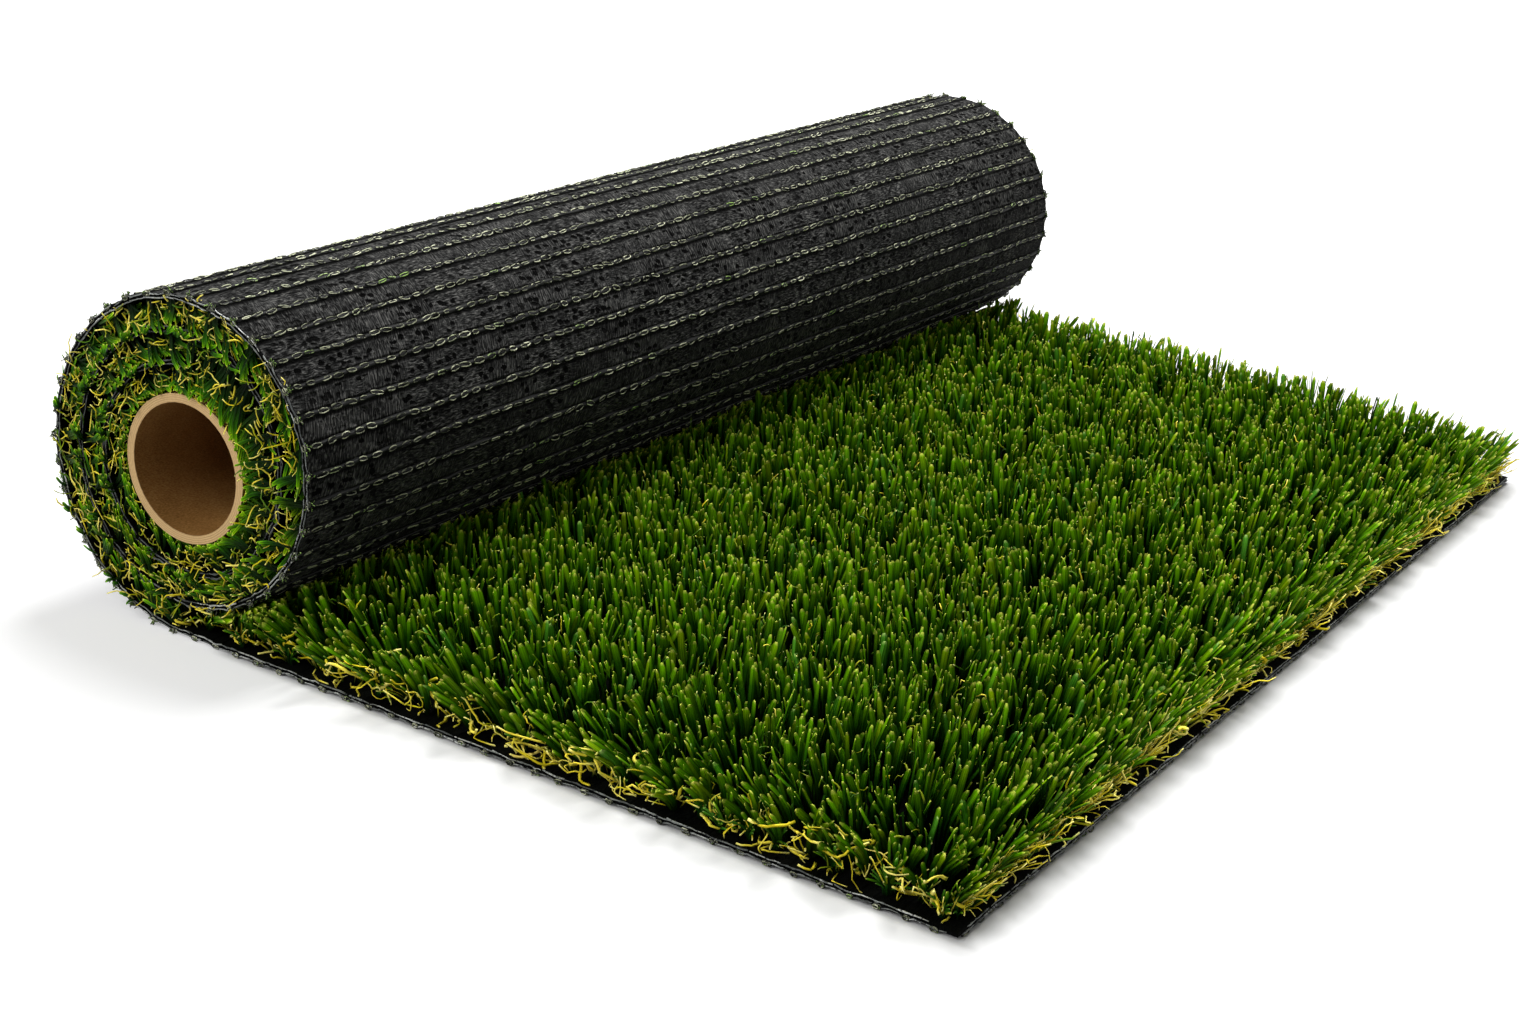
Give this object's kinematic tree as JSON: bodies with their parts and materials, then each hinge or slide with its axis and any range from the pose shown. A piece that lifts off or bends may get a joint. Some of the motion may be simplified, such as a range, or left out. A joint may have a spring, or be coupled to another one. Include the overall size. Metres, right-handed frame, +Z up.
{
  "type": "roll of artificial turf",
  "caption": "Partly unrolled roll of artificial grass on a cardboard core: black stitched backing wound in a spiral, with one stretch laid flat and its green pile standing",
  "frame": {"origin": "middle of the footprint, on the floor", "axes": "+Y along the roll, +X from the roll to the free edge of the laid stretch, +Z up"},
  "size_m": [0.599, 0.9, 0.1978],
  "materials": {
    "cardboard": "matt kraft board",
    "coated_backing": "matt black coated cloth",
    "grass_pile": "satin green yarn"
  },
  "bodies": {
    "root": {"core_tube": "cardboard", "backing": "coated_backing", "pile_wound": "grass_pile", "pile_laid": "grass_pile"}
  },
  "joints": []
}
